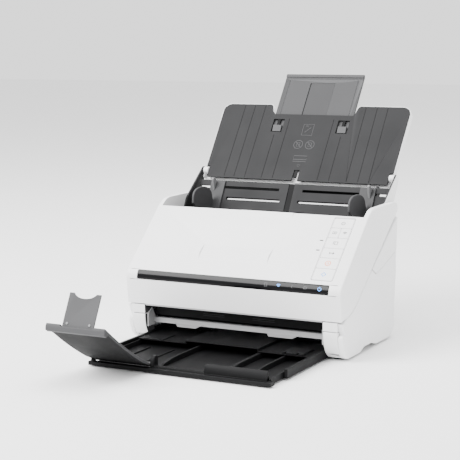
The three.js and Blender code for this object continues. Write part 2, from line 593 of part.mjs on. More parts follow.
function addInputTray() {
  const tray = tilted(TRAY_ORIGIN, TRAY_ANGLE);
  const lines = SIZE_GROOVES.flatMap((x) => [-x, x]);
  const grooves = lines.map((x) =>
    block(x - 0.4, x + 0.4, TRAY_ROOT + 2, SHORT_GROOVES[Math.abs(x)] ?? TRAY_TOP - 3, -0.5, 1));
  const latchSlots = CLIP_X.map((x) => block(x - 8, x + 8, 50, 70, -4, 1));
  const knuckleNotch = block(130.9, 140, TRAY_ROOT - 1, -7, -4, 1);
  const opened = cut(slab(trayOutline(TRAY_EDGE, TRAY_ROOT, TRAY_TOP - TRAY_EDGE), -2.2, 0),
    ...grooves, ...latchSlots, block(-4, 4, TRAY_ROOT - 1, -8, -4, 1), knuckleNotch, mirrored(knuckleNotch));
  const clips = CLIP_X.flatMap((x) => [
    prism([[51, -2], [51, -0.2], [60, 1.4], [61, -2]], x - 6, x + 6),
    block(x - 2, x + 2, 58, 72, -2, -0.6)]);
  tray.add(part('input_tray_panel', join(opened, ...clips), darkGrey));

  const pocket = slab(trayOutline(TRAY_EDGE - GAP, TRAY_ROOT - 2, TRAY_TOP - TRAY_EDGE + GAP), -6.4, 2);
  const shellBlock = slab(trayOutline(0, TRAY_ROOT, TRAY_TOP), -9, -0.4);
  const knuckle = rod(4.6, 131.5, 138.4, TRAY_PIVOT.y, TRAY_PIVOT.z)
    .translate(0, -TRAY_ORIGIN.y, -TRAY_ORIGIN.z).rotateX(-TRAY_ANGLE);
  const web = block(131.5, 136, -12, -2, -8.6, -4);
  const shell = join(cut(shellBlock, pocket), knuckle, web, mirrored(knuckle), mirrored(web));
  tray.add(part('input_tray_shell', shell, white));

  const sheet = plate(-EXTENSION_HALF, EXTENSION_HALF, 46, EXTENSION_TOP, -5.6, -3, 4);
  const lip = prism([[EXTENSION_TOP - 7.6, -5], [EXTENSION_TOP - 7.6, -2.3], [EXTENSION_TOP - 5.8, -2.3],
    [EXTENSION_TOP - 5.2, -1], [EXTENSION_TOP - 1.8, -0.8], [EXTENSION_TOP - 0.2, -2.2],
    [EXTENSION_TOP - 0.2, -5]],
  -EXTENSION_HALF + 0.4, EXTENSION_HALF - 0.4);
  const edgeLines = [-50.5, 50.5].map((x) => block(x - 0.35, x + 0.35, 60, EXTENSION_TOP - 9, -3.4, -2));
  const middle = block(-17.7, 17.7, 60, EXTENSION_TOP - 14, -3.4, -2);
  const groove = block(-18.6, -17.4, 60, EXTENSION_TOP - 14, -4.4, -2);
  tray.add(part('input_tray_extension', cut(join(sheet, lip), ...edgeLines, middle, groove), midGrey));
  scanner.add(tray);

  const eye = rod(5.2, 138.8, 141.3, TRAY_PIVOT.y, TRAY_PIVOT.z);
  const armOutline = [[99.6, 202], [56, 168], [47, 148], [60, 140], [86, 158], [108.8, 197]];
  const arm = join(prism(armOutline, 138.8, 141.3), eye);
  addPair(scanner, 'tray_arm', arm, white);
}

// ---- output tray --------------------------------------------------------------------------------
function addOutputTray() {
  const rail = cut(block(122.4, 125.8, -60, 74, 3, 16.6), block(122, 124.9, -61, 75, 7.6, 10.4));
  addPair(scanner, 'tray_rail', rail, black);

  const wall = block(TRAY_HALF - 4, TRAY_HALF, RAIL_FRONT, TRAY_REAR, 2.4, 13.4);
  const flange = block(TRAY_HALF - 1, 124.6, -58, TRAY_REAR, 8, 10);
  const bay = block(48.6, TRAY_HALF - 2, DECK_FRONT, TRAY_REAR, 10.4, 12);
  const step = block(48.6, 50.4, DECK_FRONT, TRAY_REAR, 10.4, 15.4);
  const centre = block(-49, 49, DECK_FRONT, TRAY_REAR, 13.8, 15.4);
  const lugFront = DECK_FRONT - 1.2;
  const lugOutline = (top) => [
    [lugFront, 10.8], [lugFront, top], [DECK_FRONT + 26, top], [DECK_FRONT + 34, 11.4]];
  const lug = (top) => cut(prism(lugOutline(top), 82, 109),
    ...[86, 102].map((x) => block(x - 1.2, x + 1.2, DECK_FRONT - 3, DECK_FRONT + 3, 12.4, 15)));
  const lowLug = mirrored(lug(13.1));   // the folded stopper tip lies over this one
  const tie = block(-TRAY_HALF, TRAY_HALF, TRAY_REAR - 5, TRAY_REAR, 2.4, 14);
  const right = [wall, flange, bay, step];
  const tray = join(centre, tie, lug(14.6), lowLug, ...right, ...right.map(mirrored));
  scanner.add(part('output_tray', tray, black));

  addTrayExtension();
  addStopper();
}

function addTrayExtension() {
  const floor = block(-STAGE_TWO_HALF, STAGE_TWO_HALF, STAGE_TWO_FRONT, STAGE_TWO_REAR, 2.2, 3.6);
  const bar = block(-120.4, 120.4, STAGE_TWO_FRONT, -207.8, 1.7, 6.4);
  const sideWall = prism([[-209, 3], [-209, 9], [-196, 9.9], [STAGE_TWO_REAR, 9.9], [STAGE_TWO_REAR, 3]],
    STAGE_TWO_HALF - 2, STAGE_TWO_HALF);
  const rimOutline = [[-212, 3], [-211, 13], [-207.6, 17.4], [-206.2, 17.4], [-206.8, 12], [-204, 5],
    [-198, 3]];
  const rim = prism(rimOutline, 33, 113);
  const ribOutline = [[-198, 3], [-192, 6.6], [-176, 9], [-160, 9.8], [STAGE_TWO_REAR, 9.9],
    [STAGE_TWO_REAR, 3]];
  const lowOutline = [[-212, 3], [-212, 7.4], [-210, 8.6], [-207, 8.6], [-205, 5], [-203, 3]];
  const lowFront = prism(lowOutline, -33.5, 33.5);
  const ribs = [[-34, 3], [48.5, 5], [83, 3]].map(([x, width]) => prism(ribOutline, x, x + width));
  const lowRib = (x) => prism([[-196, 3], [-186, 5.2], [-120, 5.2], [-114, 3]], x, x + 2);
  const earOutline = [[-212, 4], [-212, 14], [-208, 19.6], [-203, 19.6], [-202, 14], [-202, 4]];
  const earRight = prism(earOutline, -37.9, -33);
  const earLeft = prism([[-212, 4], [-210, 12.5], [-203, 12.5], [-202, 4]], -120.4, -118.9);
  const bores = rod(1.9, -119.6, -36, STOPPER_PIVOT.y, STOPPER_PIVOT.z, 16);
  const foldRoom = block(STOPPER_X[0] - 0.4, STOPPER_X[1] + 0.5, -209.7, -188, 3.6, 30);
  const body = join(floor, bar, sideWall, mirrored(sideWall), rim, lowFront, ...ribs,
    lowRib(-62), lowRib(-96), earRight, earLeft);
  scanner.add(part('output_tray_extension', cut(body, bores, foldRoom), black));
}

const FLIP = { y: 110.5, z: 1, half: 21, x: -76.5, length: 39.5 };

function addStopper() {
  const stopper = tilted(STOPPER_PIVOT, STOPPER_ANGLE);
  const paper = (y) => 3 * (1 - (2 * y / STOPPER_LENGTH - 1) ** 2);
  const along = [5, 20, 35, 50, 65, 80, 95, STOPPER_LENGTH];
  const face = along.map((y) => [y, paper(y)]);
  const underside = [
    [STOPPER_LENGTH, 4], [STOPPER_LENGTH - 2, 8], [STOPPER_LENGTH - 7, 8], [STOPPER_LENGTH - 9, 5],
    ...[95, 80, 65, 50, 35, 20].map((y) => [y, paper(y) + 3.8]), [4, 3]];
  const flap = prism([...face, ...underside], STOPPER_X[0], STOPPER_X[1], 0.8);
  const knuckle = join(rod(1.5, -119.4, -36.6), rod(2.6, STOPPER_X[0] + 1, STOPPER_X[1] - 1),
    block(STOPPER_X[0] + 1, STOPPER_X[1] - 1, 0, 8, 0.5, 2.4));
  const recess = block(FLIP.x - FLIP.half - 0.6, FLIP.x + FLIP.half + 0.6, FLIP.y - FLIP.length - 1.5,
    STOPPER_LENGTH + 2, -2, 2.2);
  stopper.add(part('stopper', cut(join(flap, knuckle), recess), midGrey));

  const upright = new THREE.Group();
  upright.position.set(FLIP.x, FLIP.y, FLIP.z);
  upright.rotation.x = THREE.MathUtils.degToRad(63) - STOPPER_ANGLE;
  upright.add(part('stopper_extension', flipOutline(), midGrey));
  stopper.add(upright);
  scanner.add(stopper);
}

// small plate with a finger scoop in its free edge and two round feet
function flipOutline() {
  const { half, length } = FLIP;
  const shape = new THREE.Shape();
  shape.moveTo(-half, -0.8);
  shape.lineTo(half, -0.8);
  shape.lineTo(half, length);
  shape.lineTo(half - 6, length);
  shape.bezierCurveTo(half - 8, length - 3, half - 13, length - 6, 0, length - 6);
  shape.bezierCurveTo(13 - half, length - 6, 8 - half, length - 3, 6 - half, length);
  shape.lineTo(-half, length);
  shape.closePath();
  return slab(shape, -0.8, 0.8);
}

// ---- exit, electronics and feet -----------------------------------------------------------------
function addExit() {
  const ledgeOutline = [[-66.6, 23.8], [-65.4, 29.8], [-59.4, 29.8], [-59.4, 28.4], [-63.4, 28.2],
    [-64.4, 23.8]];
  const ledge = prism(ledgeOutline, -121.5, 121.5);
  const tab = (x0, x1) => {
    const shape = new THREE.Shape();
    shape.moveTo(x0, 24);
    shape.lineTo(x0 + 2, 20.2);
    shape.lineTo(x1 - 8, 20.2);
    shape.lineTo(x1, 24);
    shape.closePath();
    const geometry = new THREE.ExtrudeGeometry(shape, { depth: 2.2, bevelEnabled: false });
    return geometry.rotateX(Math.PI / 2).translate(0, -64.4, 0);
  };
  const gusset = prism([[-80, 20.6], [-80, 38], [-70, 43], [-61.8, 30], [-61.8, 20.6]], 120, 121.8);
  scanner.add(part('exit_ledge', join(ledge, tab(-88, -52), tab(40, 82), gusset, mirrored(gusset)), lightGrey));
}

function addElectronics() {
  scanner.add(part('main_board', block(-118, 20, 60, 61.6, 27, 67), board));
  const jack = join(block(-103.6, -92.4, 74.5, 86, 44.4, 54.6), rod(1.2, -99, -97, 80, 49.5));
  const socket = new THREE.CylinderGeometry(3.4, 3.4, 8, 20).translate(-98, 86, 49.5);
  scanner.add(part('power_inlet', cut(jack, socket), black));
  const usbBody = block(-80.5, -68.5, 74.5, 86, 44, 55);
  scanner.add(part('usb_port', cut(usbBody, block(-78.5, -70.5, 78, 90, 46, 53)), steel));
}

function addFeet() {
  const pad = (y0, y1) => plate(125, 139, y0, y1, 0, 2.2, 4);
  addPair(scanner, 'foot_pad_front', pad(-62, -44), rubber);
  addPair(scanner, 'foot_pad_rear', pad(26, 58), rubber);
}

addCasing();
addChassis();
addPaperPath();
addDrive();
addCover();
addButtons();
addGuides();
addInputTray();
addOutputTray();
addExit();
addElectronics();
addFeet();

export default scanner;
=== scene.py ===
"""Looks of the sheet fed document scanner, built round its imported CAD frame.
Lengths are written in millimetres in the casing's own frame; place() turns them into metres in the row frame.
"""
import json
import math

import bmesh
import bpy
from mathutils import Matrix, Vector


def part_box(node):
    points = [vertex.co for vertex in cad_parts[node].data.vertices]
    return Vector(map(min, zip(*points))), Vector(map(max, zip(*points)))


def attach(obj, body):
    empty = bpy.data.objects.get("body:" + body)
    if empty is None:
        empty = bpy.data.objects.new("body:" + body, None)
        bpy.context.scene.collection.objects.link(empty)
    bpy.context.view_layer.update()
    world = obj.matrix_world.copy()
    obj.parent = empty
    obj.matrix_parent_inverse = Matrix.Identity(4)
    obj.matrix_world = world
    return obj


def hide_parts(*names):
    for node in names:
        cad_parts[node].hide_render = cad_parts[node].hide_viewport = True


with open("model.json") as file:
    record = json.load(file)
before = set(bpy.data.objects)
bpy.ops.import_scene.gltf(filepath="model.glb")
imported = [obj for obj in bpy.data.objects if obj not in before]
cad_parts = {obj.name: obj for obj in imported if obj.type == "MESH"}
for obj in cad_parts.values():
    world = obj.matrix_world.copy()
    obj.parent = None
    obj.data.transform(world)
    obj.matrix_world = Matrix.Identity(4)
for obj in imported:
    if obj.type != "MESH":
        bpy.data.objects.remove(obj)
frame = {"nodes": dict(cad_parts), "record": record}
NODES = frame["nodes"]
BODY_OF = {node: body for body, members in frame["record"]["behaviour"]["bodies"].items() for node in members}
SLOT_OF = {part["node"]: part["material_slot"] for part in frame["record"]["subparts"]}
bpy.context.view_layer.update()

MM = 0.001
SHIFT_Y = 53.2                       # casing frame to row frame
HALF_WIDTH = 148.0
WING_INNER = 141.7
FACE_ANGLE = math.radians(185.8)     # the cover's leaning face
SLOPE = math.radians(42.1)           # the cover's sloping top
ROUND_Y, ROUND_Z, ROUND_R = -72.2, 82.8, 15.0
SLOPE_LENGTH = 104.7
TRAY_Y, TRAY_Z, TRAY_ANGLE = 110.1, 211.0, math.radians(53.6)
PATH_Y, PATH_Z, PATH_ANGLE = -58.0, 30.0, math.radians(42.0)
HOPPER_Y, HOPPER_Z, HOPPER_ANGLE = 78.0, 166.0, math.radians(60.0)
STOPPER_Y, STOPPER_Z, STOPPER_ANGLE = -206.5, 8.5, math.radians(147.3)
TIP_Y, TIP_Z, TIP_ANGLE = -300.02, 67.35, math.radians(63.0)
WELD = 2e-6                          # vertices closer than this (in metres) are one


def place(x, y, z):
    return Vector((x * MM, (y + SHIFT_Y) * MM, z * MM))


# ---- materials -----------------------------------------------------------------------------------
def node_material(name):
    material = bpy.data.materials.new(name)
    material.use_nodes = True
    tree = material.node_tree
    return material, tree, tree.nodes["Principled BSDF"]


def noise(tree, scale, detail=3.0):
    coords = tree.nodes.new("ShaderNodeTexCoord")
    texture = tree.nodes.new("ShaderNodeTexNoise")
    texture.inputs["Scale"].default_value = scale
    texture.inputs["Detail"].default_value = detail
    tree.links.new(coords.outputs["Object"], texture.inputs["Vector"])
    return texture.outputs["Fac"]


def ranged(tree, value, low, high, from_low=0.3, from_high=0.7):
    mapped = tree.nodes.new("ShaderNodeMapRange")
    mapped.inputs["From Min"].default_value = from_low
    mapped.inputs["From Max"].default_value = from_high
    mapped.inputs["To Min"].default_value = low
    mapped.inputs["To Max"].default_value = high
    tree.links.new(value, mapped.inputs["Value"])
    return mapped.outputs["Result"]


def bumped(tree, shader, height, strength, depth):
    bump = tree.nodes.new("ShaderNodeBump")
    bump.inputs["Strength"].default_value = strength
    bump.inputs["Distance"].default_value = depth
    tree.links.new(height, bump.inputs["Height"])
    tree.links.new(bump.outputs["Normal"], shader.inputs["Normal"])


def tinted(tree, shader, colour, highlight_colour):
    """Base colour that drifts a little over the part and turns to a lighter colour on convex edges: a painted
    highlight.
    """
    geometry = tree.nodes.new("ShaderNodeNewGeometry")
    edge = ranged(tree, geometry.outputs["Pointiness"], 0.0, 1.0, 0.51, 0.60)
    drift = ranged(tree, noise(tree, 9.0), 0.965, 1.035)
    base = tree.nodes.new("ShaderNodeVectorMath")
    base.operation = "SCALE"
    base.inputs[0].default_value = colour
    tree.links.new(drift, base.inputs["Scale"])
    mix = tree.nodes.new("ShaderNodeMix")
    mix.data_type = "RGBA"
    mix.inputs["B"].default_value = (*highlight_colour, 1.0)
    tree.links.new(edge, mix.inputs["Factor"])
    tree.links.new(base.outputs["Vector"], mix.inputs["A"])
    tree.links.new(mix.outputs["Result"], shader.inputs["Base Color"])


def plastic(name, colour, roughness, grain_mm=0.5, grain=0.12, edge=1.12, shine=0.5):
    material, tree, shader = node_material(name)
    # edge sets how much lighter the painted highlight on convex edges is.
    tinted(tree, shader, colour, tuple(min(1.0, c * edge + 0.004) for c in colour))
    worn = ranged(tree, noise(tree, 22.0), roughness - 0.05, roughness + 0.05)
    tree.links.new(worn, shader.inputs["Roughness"])
    bumped(tree, shader, noise(tree, 1 / (grain_mm * MM), 2.0), grain, 0.04 * MM)
    shader.inputs["IOR"].default_value = 1.5
    shader.inputs["Specular IOR Level"].default_value = shine
    return material


def gloss(name, colour):
    material, tree, shader = node_material(name)
    shader.inputs["Base Color"].default_value = (*colour, 1.0)
    tree.links.new(ranged(tree, noise(tree, 60.0), 0.10, 0.16), shader.inputs["Roughness"])
    shader.inputs["Specular IOR Level"].default_value = 0.15
    return material


def metal(name, colour, roughness):
    material, tree, shader = node_material(name)
    shader.inputs["Metallic"].default_value = 1.0
    # Convex edges 1.2 times lighter: a painted highlight.
    tinted(tree, shader, colour, tuple(min(1.0, c * 1.2) for c in colour))
    brushed = ranged(tree, noise(tree, 320.0, 5.0), roughness - 0.08, roughness + 0.08)
    tree.links.new(brushed, shader.inputs["Roughness"])
    bumped(tree, shader, noise(tree, 900.0), 0.08, 0.03 * MM)
    return material


def clear_glass(name):
    material, tree, shader = node_material(name)
    shader.inputs["Base Color"].default_value = (0.75, 0.86, 0.88, 1.0)
    shader.inputs["Transmission Weight"].default_value = 0.85
    shader.inputs["IOR"].default_value = 1.5
    tree.links.new(ranged(tree, noise(tree, 40.0), 0.01, 0.05), shader.inputs["Roughness"])
    return material


def glowing(name, colour, strength):
    material, tree, shader = node_material(name)
    shader.inputs["Base Color"].default_value = (*colour, 1.0)
    shader.inputs["Emission Color"].default_value = (*colour, 1.0)
    shader.inputs["Emission Strength"].default_value = strength
    tree.links.new(ranged(tree, noise(tree, 200.0), 0.3, 0.4), shader.inputs["Roughness"])
    return material


# edge= is the strength of each material's painted highlight on convex edges.
LOOKS = {
    "body_white": plastic("white_plastic", (0.84, 0.84, 0.845), 0.42, grain_mm=0.4, grain=0.08, edge=1.03),
    "tray_dark_grey": plastic("dark_grey_plastic", (0.013, 0.013, 0.0137), 0.6, grain=0.3, edge=1.8,
                              shine=0.15),
    "part_mid_grey": plastic("mid_grey_plastic", (0.040, 0.040, 0.0415), 0.55, grain=0.3, edge=1.8, shine=0.2),
    "part_light_grey": plastic("light_grey_plastic", (0.36, 0.36, 0.365), 0.5, grain=0.2, shine=0.4),
    "tray_black": plastic("black_plastic", (0.0025, 0.0025, 0.0028), 0.55, grain=0.35, edge=2.0, shine=0.1),
    "light_bar_black": gloss("gloss_black", (0.002, 0.002, 0.0025)),
    "roller_rubber": plastic("roller_rubber", (0.03, 0.03, 0.031), 0.8, grain_mm=0.3, grain=0.6),
    "foot_rubber": plastic("foot_rubber", (0.02, 0.02, 0.02), 0.85, grain_mm=0.4, grain=0.5),
    "steel": metal("zinc_steel", (0.55, 0.56, 0.57), 0.32),
    "scan_glass": clear_glass("scan_glass"),
    "circuit_board": plastic("solder_mask", (0.02, 0.13, 0.05), 0.4, grain_mm=0.3, grain=0.2),
}
# Near-black plastic of the tray latch and clip hooks, also used as painted shade in the hopper groove, the clip
# recesses and on the stopper's underside.
DARK_PLASTIC_AND_SHADE = plastic("dark_plastic_and_painted_shade", (0.005, 0.005, 0.0053), 0.6, grain=0.3, shine=0.1)
FIN_LIGHT = plastic("guide_ramp_grey", (0.15, 0.15, 0.153), 0.5, grain=0.2, shine=0.3)
# Lighter than the dark tray and nose: moulded symbols and outlines drawn in a painted highlight.
RELIEF_HIGHLIGHT_GREY = plastic("tray_mark_grey", (0.045, 0.045, 0.047), 0.5, grain=0.05, shine=0.2)
ICON_GREY = plastic("icon_grey", (0.02, 0.02, 0.022), 0.5, grain=0.05)
ICON_ORANGE = plastic("icon_orange", (0.85, 0.20, 0.06), 0.45, grain=0.05)
ICON_BLUE = plastic("icon_blue", (0.05, 0.30, 0.75), 0.45, grain=0.05)
LIGHT_BLUE = glowing("status_blue", (0.10, 0.38, 1.0), 1.6)
LIGHT_DIM = plastic("status_unlit", (0.045, 0.045, 0.05), 0.3, grain=0.05)


# ---- mesh helpers ----------------------------------------------------------------------------------
def to_object(name, bm, material):
    bmesh.ops.recalc_face_normals(bm, faces=bm.faces)
    mesh = bpy.data.meshes.new(name)
    bm.to_mesh(mesh)
    bm.free()
    piece = bpy.data.objects.new(name, mesh)
    bpy.context.scene.collection.objects.link(piece)
    piece.data.materials.append(material)
    return piece


def shaded(piece, angle=40.0):
    """Smooth shading with flat faces kept flat."""
    piece.data.shade_smooth()
    piece.data.set_sharp_from_angle(angle=math.radians(angle))
    weighted = piece.modifiers.new("flat_faces", "WEIGHTED_NORMAL")
    weighted.keep_sharp = True
    weighted.weight = 80
    return piece


def applied(piece):
    """The piece with its modifiers turned into mesh."""
    depsgraph = bpy.context.evaluated_depsgraph_get()
    mesh = bpy.data.meshes.new_from_object(piece.evaluated_get(depsgraph))
    piece.modifiers.clear()
    piece.data = mesh
    return piece


def combined(piece, other, operation):
    boolean = piece.modifiers.new("combine", "BOOLEAN")
    boolean.solver = "EXACT"
    boolean.operation = operation
    boolean.object = other
    applied(piece)
    bpy.data.objects.remove(other)
    return piece


def with_edges(piece, width_mm, angle=38.0, segments=2):
    """Small moulded radius on every sharp edge."""
    bm = bmesh.new()
    bm.from_mesh(piece.data)
    bmesh.ops.remove_doubles(bm, verts=bm.verts, dist=WELD)
    bmesh.ops.delete(bm, geom=[edge for edge in bm.edges if edge.is_wire], context="EDGES")
    bevel_sharp(bm, width_mm, angle, segments)
    bm.to_mesh(piece.data)
    bm.free()
    return shaded(piece)


def bevel_sharp(bm, width_mm, angle, segments):
    width = width_mm * MM
    sharp = [e for e in bm.edges if e.is_manifold and e.calc_face_angle(0.0) > math.radians(angle)
             and e.calc_length() > 0.6 * width]
    bmesh.ops.bevel(bm, geom=sharp, offset=width, offset_type="OFFSET", segments=segments,
                    profile=0.5, affect="EDGES", clamp_overlap=False, miter_outer="ARC")
    bmesh.ops.recalc_face_normals(bm, faces=bm.faces)


def softened(node, width_mm=0.4, segments=2, material=None):
    """The CAD node's own shape with moulded edges, shown instead of the node."""
    bm = bmesh.new()
    bm.from_mesh(NODES[node].data)
    bmesh.ops.remove_doubles(bm, verts=bm.verts, dist=WELD)
    bevel_sharp(bm, width_mm, 38.0, segments)
    piece = to_object(node + "_shape", bm, material or LOOKS[SLOT_OF[node]])
    return dressed(shaded(piece), node)


def dressed(piece, node):
    """The piece takes the CAD node's place and body."""
    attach(piece, BODY_OF[node])
    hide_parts(node)
    return piece


def in_frame(point, angle, y, z):
    """Along and out of a tilted plane through (y, z), in millimetres, for a point in the row frame."""
    dy, dz = point.y / MM - SHIFT_Y - y, point.z / MM - z
    return dy * math.cos(angle) + dz * math.sin(angle), dz * math.cos(angle) - dy * math.sin(angle)


def two_tone(piece, material, chosen):
    """Gives the second material to the faces that chosen(middle, normal) picks."""
    piece.data.materials.append(material)
    for face in piece.data.polygons:
        if chosen(face.center, face.normal):
            face.material_index = len(piece.data.materials) - 1


def rounded(points, gentle, tight, steps=6):
    """An outline whose corners become arcs: gentle radius on slight turns, tight radius on sharp ones."""
    outline = []
    count = len(points)
    for i, corner in enumerate(points):
        here = Vector(corner)
        back = Vector(points[i - 1]) - here
        ahead = Vector(points[(i + 1) % count]) - here
        turn = math.pi - back.angle(ahead)
        radius = gentle if turn < math.radians(50) else tight
        reach = min(radius * math.tan(turn / 2), 0.48 * back.length, 0.48 * ahead.length)
        if reach < 1e-3 or turn < 1e-3:
            outline.append((here.x, here.y))
            continue
        first = here + back.normalized() * reach
        last = here + ahead.normalized() * reach
        for k in range(steps + 1):
            t = k / steps
            point = first * (1 - t) ** 2 + here * (2 * t * (1 - t)) + last * t ** 2
            outline.append((point.x, point.y))
    return outline


def prism(name, outline, x0, x1, material, edge=0.0, ends=("low", "high"), segments=4):
    """An outline in Y and Z extruded along X, with a round edge on the chosen ends."""
    bm = bmesh.new()
    low = [bm.verts.new(place(x0, y, z)) for y, z in outline]
    high = [bm.verts.new(place(x1, y, z)) for y, z in outline]
    bm.faces.new(low)
    bm.faces.new(high)
    count = len(outline)
    for i in range(count):
        bm.faces.new((low[i], low[(i + 1) % count], high[(i + 1) % count], high[i]))
    bmesh.ops.recalc_face_normals(bm, faces=bm.faces)
    if edge:
        rims = []
        if "low" in ends:
            rims += [bm.edges.get((low[i], low[i - 1])) for i in range(count)]
        if "high" in ends:
            rims += [bm.edges.get((high[i], high[i - 1])) for i in range(count)]
        bmesh.ops.bevel(bm, geom=rims, offset=edge * MM, offset_type="OFFSET", segments=segments,
                        profile=0.5, affect="EDGES", clamp_overlap=False)
    return to_object(name, bm, material)


def bar(name, x0, x1, y0, y1, z0, z1, material):
    return prism(name, [(y0, z0), (y1, z0), (y1, z1), (y0, z1)], x0, x1, material)


def turned(piece, angle, y, z):
    """Moves a piece drawn flat at the casing origin onto a tilted plane through (y, z)."""
    home = place(0, 0, 0)
    matrix = Matrix.Translation(place(0, y, z)) @ Matrix.Rotation(angle, 4, "X") @ Matrix.Translation(-home)
    piece.data.transform(matrix)
    return piece


def mirrored(piece, name):
    copy = bpy.data.objects.new(name, piece.data.copy())
    bpy.context.scene.collection.objects.link(copy)
    copy.data.transform(Matrix.Diagonal((-1, 1, 1, 1)))
    copy.data.flip_normals()
    return copy


# ---- casing outlines seen from the side --------------------------------------------------------------
SLOPE_OUT = SLOPE + math.pi / 2
SEAM = [(-80.6, 51.2), (-68, 52.4), (-55.9, 56.3), (-45, 61.6), (-36.6, 67), (6.8, 99.2), (90.6, 159.8)]
WING_TOP = [(1.8, 169.2), (8, 171.7), (15.5, 173), (80, 173), (88.5, 171), (92.6, 166.5)]
SIDE_TOP_FRONT = [(-82.6, 47.5), (-79, 47.9), (-75.5, 49.6), (-73, 51)]
SIDE_FRONT = [(-83.2, 34), (-81, 20), (-76.5, 10), (-70, 4)]
SIDE_BOTTOM = [(-64, 2.5), (-30, 2.5), (-18, 7), (6, 7), (23, 2.5), (60, 2.5), (72, 6.5), (80.5, 13),
               (84.6, 23)]
INSERT = [(8.6, 99.0), (21.2, 91.0), (86.8, 110.4), (89.9, 154.0)]


def on_round(angle, radius):
    return (ROUND_Y + radius * math.cos(angle), ROUND_Z + radius * math.sin(angle))


def on_slope(s, out=0.0):
    y, z = on_round(SLOPE_OUT, ROUND_R + out)
    return (y + s * math.cos(SLOPE), z + s * math.sin(SLOPE))


def round_points(radius, steps=20, margin=0.0):
    start, end = FACE_ANGLE - math.radians(margin), SLOPE_OUT + math.radians(margin)
    return [on_round(start + (end - start) * i / steps, radius) for i in range(steps + 1)]


def cover_face(inset):
    shift = inset * math.cos(FACE_ANGLE)
    return [(-84.3 - shift, 50.2), *round_points(ROUND_R - inset), on_slope(SLOPE_LENGTH, -inset)]


# ---- front cover -------------------------------------------------------------------------------------
COVER_WALL = 2.5
KEY_WINDOW = (105.15, 131.85, 5.65, 101.35, -6, 3)   # across, up the slope, out of the slope
SCOOP_START, SCOOP_LENGTH, SCOOP_ROWS = 23, 24, 16


def build_cover():
    white = LOOKS["body_white"]
    reach = WING_INNER + 0.4
    face = prism("front_cover_shape", cover_face(0) + cover_face(COVER_WALL)[::-1], -reach, reach, white)
    join_wings(face)
    cut_light_bar_slot(face)
    combined(face, turned(bar("hole", *KEY_WINDOW, white), SLOPE, *on_slope(0)), "DIFFERENCE")
    for x in (-47, 48.5):
        combined(face, scoop(x), "DIFFERENCE")
    for x0, x1 in ((126, 138), (-138, -126)):
        join_hinge_pin(face, x0, x1)
    dressed(with_edges(face, 0.3, angle=55.0), "front_cover_shell")


def join_wings(face):
    top = rounded(WING_TOP[::-1], 9, 5)
    outline = SEAM + top[6:-6] + cover_face(0)[::-1]
    for side in (1, -1):
        wing = prism("wing", outline, WING_INNER, HALF_WIDTH, LOOKS["body_white"], edge=2.0,
                     ends=("high",), segments=5)
        if side < 0:
            left = mirrored(wing, "left_wing")
            bpy.data.objects.remove(wing)
            wing = left
        combined(face, wing, "UNION")


def cut_light_bar_slot(face):
    outline = round_points(ROUND_R + 1, 16, 0.9) + round_points(ROUND_R - 4, 16, 0.9)[::-1]
    slot = prism("slot", outline, -131.6, 131.6, LOOKS["body_white"])
    combined(face, combined(slot, light_bar_form(131.6, 6.9, 3.0), "INTERSECT"), "DIFFERENCE")


def join_hinge_pin(face, x0, x1):
    """One hinge pin with the rib that carries it."""
    white = LOOKS["body_white"]
    turns = [a * math.pi / 8 for a in range(16)]
    outline = [(-80.5 + 1.2 * math.cos(turn), 53.5 + 1.2 * math.sin(turn)) for turn in turns]
    combined(face, prism("pin", outline, x0, x1, white), "UNION")
    combined(face, bar("pin_rib", x0 + 2, x0 + 4, -83.6, -80.5, 52.8, 54.2, white), "UNION")


def scoop(x):
    """Finger hollow beside the mark: one curved wall, the floor ramping up away from it."""
    bm = bmesh.new()
    floor, top = [], []
    for k in range(SCOOP_ROWS + 1):
        t = k / SCOOP_ROWS
        s = SCOOP_START + SCOOP_LENGTH * t
        bow = math.sin(math.pi * t)
        wall = x - 8.0 - 2.4 * bow
        ramp = wall + (0.6 + 10.0 * bow)
        deep = -2.2 * bow - 0.02
        floor.append((bm.verts.new(place(wall + 0.3, s, deep)), bm.verts.new(place(ramp, s, 0.06))))
        top.append((bm.verts.new(place(wall, s, 2.0)), bm.verts.new(place(ramp, s, 2.0))))
    for k in range(SCOOP_ROWS):
        (a, b), (c, d) = floor[k], floor[k + 1]
        (e, f), (g, h) = top[k], top[k + 1]
        for corners in ((a, b, d, c), (e, f, h, g), (a, c, g, e), (b, d, h, f)):
            bm.faces.new(corners)
    for (a, b), (e, f) in ((floor[0], top[0]), (floor[-1], top[-1])):
        bm.faces.new((a, b, f, e))
    return turned(to_object("scoop", bm, LOOKS["body_white"]), SLOPE, *on_slope(0))


def light_bar_form(half_x, half_s, corner):
    """A block with round corners that looks straight at the light bar."""
    outline = []
    for cx, cs, start in ((1, 1, 0), (-1, 1, 90), (-1, -1, 180), (1, -1, 270)):
        outline += arc(cx * (half_x - corner), cs * (half_s - corner), corner, start, start + 90, 8)
    bm = bmesh.new()
    low = [bm.verts.new(place(x, s, -9)) for x, s in outline]
    high = [bm.verts.new(place(x, s, 5)) for x, s in outline]
    bm.faces.new(low)
    bm.faces.new(high)
    for i, corner_vertex in enumerate(low):
        bm.faces.new((low[i - 1], corner_vertex, high[i], high[i - 1]))
    middle = (FACE_ANGLE + SLOPE_OUT) / 2
    form = to_object("light_bar_form", bm, LOOKS["body_white"])
    return turned(form, middle - math.pi / 2, *on_round(middle, ROUND_R))


def build_light_bar():
    outline = round_points(ROUND_R - 0.05, 20, 1.8) + round_points(ROUND_R - 2.2, 20, 1.8)[::-1]
    window = prism("light_bar_shape", outline, -131.2, 131.2, LOOKS["light_bar_black"])
    combined(window, light_bar_form(131.2, 6.6, 2.7), "INTERSECT")
    dressed(with_edges(window, 0.2, angle=55.0), "status_light_window")


